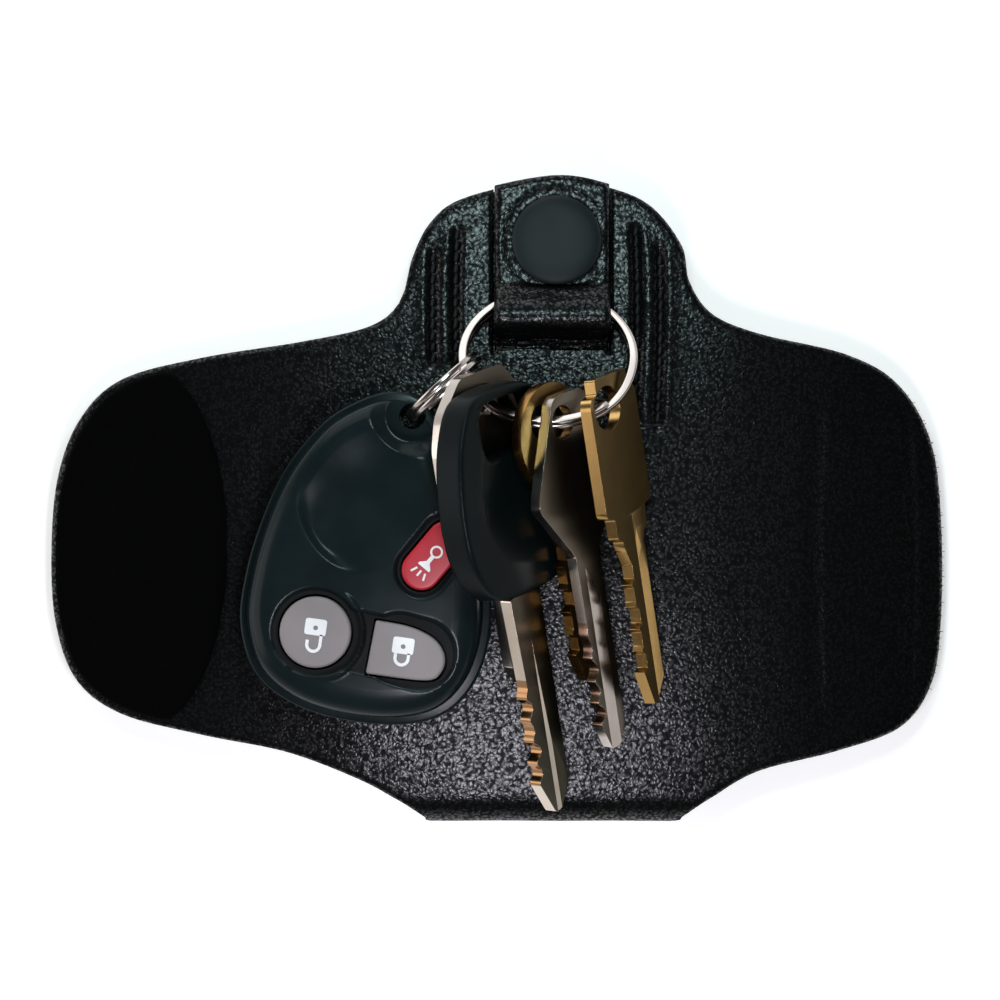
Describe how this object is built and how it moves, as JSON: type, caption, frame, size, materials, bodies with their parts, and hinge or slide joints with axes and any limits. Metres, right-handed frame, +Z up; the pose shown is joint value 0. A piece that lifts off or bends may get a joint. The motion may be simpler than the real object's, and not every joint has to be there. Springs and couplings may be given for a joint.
{
  "type": "key holder",
  "caption": "Leather key holder lying open: side wings that fold over, a snapped tongue round a split ring, a belt loop, and the keys and remote on the ring.",
  "frame": {"origin": "centre of the open holder's bounding box, at the height of the surface that the belt strap lies on", "axes": "+X across the open wings to the wing with the hook tape, +Y along the body to the tab with the snap, +Z up out of the inner face"},
  "size_m": [0.1644, 0.1175, 0.0406],
  "materials": {
    "black_leather": "black pebbled grain, semi-matt",
    "loop_pile": "black loop pile, matt",
    "hook_tape": "black hook tape",
    "snap_black": "matt black enamel",
    "snap_steel": "plain nickelled steel",
    "nickel": "bright nickel plate",
    "key_nickel": "worn nickel silver",
    "key_steel": "nickelled steel",
    "brass": "worn brass",
    "dark_plastic": "fine satin texture",
    "key_rubber": "satin black",
    "grey_rubber": "matt grey",
    "red_rubber": "satin red",
    "board_green": "satin",
    "cell_steel": "plain"
  },
  "bodies": {
    "holder": {"body_leather": "black_leather", "snap_stud": "snap_steel", "snap_post": "snap_steel"},
    "tongue": {"ring_tongue": "black_leather", "snap_cap": "snap_black", "snap_socket": "snap_steel"},
    "left_side": {"left_side_strip": "black_leather", "loop_patch_side": "loop_pile"},
    "left_flap_body": {"left_flap": "black_leather", "loop_patch_flap": "loop_pile"},
    "right_side": {"right_side_strip": "black_leather", "hook_patch_side": "hook_tape"},
    "right_flap_body": {"right_flap": "black_leather", "hook_patch_flap": "hook_tape"},
    "ring": {"key_ring": "nickel"},
    "remote": {"remote_lower_shell": "dark_plastic", "remote_upper_shell": "dark_plastic", "remote_circuit_board": "board_green", "remote_cell": "cell_steel"},
    "small_ring": {"remote_ring": "nickel"},
    "unlock_press": {"unlock_button": "grey_rubber"},
    "lock_press": {"lock_button": "grey_rubber"},
    "alarm_press": {"alarm_button": "red_rubber"},
    "car_key": {"car_key_head": "key_rubber", "car_key_blade": "key_steel"},
    "nickel_key_left_body": {"nickel_key_left": "key_nickel"},
    "brass_key_back_body": {"brass_key_back": "brass"},
    "nickel_key_right_body": {"nickel_key_right": "key_nickel"},
    "brass_key_front_body": {"brass_key_front": "brass"}
  },
  "joints": [
    {"name": "tongue_lift", "type": "hinge", "parent": "holder", "child": "tongue", "pos_m": [0, 0.0274, 0.0098], "axis": [1, 0, 0], "range_deg": [0, 45]},
    {"name": "left_side_fold", "type": "hinge", "parent": "holder", "child": "left_side", "pos_m": [-0.0475, 0, 0.00882], "axis": [0, 1, 0], "range_deg": [0, 90]},
    {"name": "left_flap_fold", "type": "hinge", "parent": "left_side", "child": "left_flap_body", "pos_m": [-0.06349, 0, 0.00736], "axis": [0, 1, 0], "range_deg": [0, 90]},
    {"name": "right_side_fold", "type": "hinge", "parent": "holder", "child": "right_side", "pos_m": [0.0347, 0, 0.0098], "axis": [0, -1, 0], "range_deg": [0, 90]},
    {"name": "right_flap_fold", "type": "hinge", "parent": "right_side", "child": "right_flap_body", "pos_m": [0.0617, 0, 0.00825], "axis": [0, -1, 0], "range_deg": [0, 90]},
    {"name": "ring_lift", "type": "hinge", "parent": "holder", "child": "ring", "pos_m": [0.0091, 0.0376, 0.0093], "axis": [1, 0, 0], "range_deg": [-18, 0]},
    {"name": "remote_swing", "type": "hinge", "parent": "ring", "child": "remote", "pos_m": [-0.0151, 0.0151, 0.0166], "axis": [0, 0, 1], "range_deg": [-25, 0]},
    {"name": "small_ring_spin", "type": "hinge", "parent": "ring", "child": "small_ring", "pos_m": [-0.00942, 0.02029, 0.0188], "axis": [-0.6749, 0.7379, 0], "continuous": true},
    {"name": "car_key_swing", "type": "hinge", "parent": "ring", "child": "car_key", "pos_m": [0.0015, 0.01525, 0.02676], "axis": [0.7775, -0.0122, 0.6287], "range_deg": [-20, 0]},
    {"name": "nickel_key_left_swing", "type": "hinge", "parent": "ring", "child": "nickel_key_left_body", "pos_m": [-0.00254, 0.01792, 0.02467], "axis": [0.7775, -0.0122, 0.6287], "range_deg": [-20, 0]},
    {"name": "brass_key_back_swing", "type": "hinge", "parent": "ring", "child": "brass_key_back_body", "pos_m": [0.00698, 0.01376, 0.02792], "axis": [0.7775, -0.0122, 0.6287], "range_deg": [-30, 0]},
    {"name": "nickel_key_right_swing", "type": "hinge", "parent": "ring", "child": "nickel_key_right_body", "pos_m": [0.01069, 0.01371, 0.02797], "axis": [0.7775, -0.0122, 0.6287], "range_deg": [-30, 0]},
    {"name": "brass_key_front_swing", "type": "hinge", "parent": "ring", "child": "brass_key_front_body", "pos_m": [0.01846, 0.01618, 0.02603], "axis": [0.8836, 0.0656, 0.4637], "range_deg": [-30, 0]},
    {"name": "unlock_press_slide", "type": "slide", "parent": "remote", "child": "unlock_press", "axis": [0, 0, -1], "range_m": [0, 0.0008], "stiffness_N_per_m": 1500},
    {"name": "lock_press_slide", "type": "slide", "parent": "remote", "child": "lock_press", "axis": [0, 0, -1], "range_m": [0, 0.0008], "stiffness_N_per_m": 1500},
    {"name": "alarm_press_slide", "type": "slide", "parent": "remote", "child": "alarm_press", "axis": [0, 0, -1], "range_m": [0, 0.0008], "stiffness_N_per_m": 1500}
  ],
  "couplings": [
    {"joint": "left_flap_fold", "follows": "left_side_fold", "ratio": 1},
    {"joint": "right_flap_fold", "follows": "right_side_fold", "ratio": 1}
  ]
}
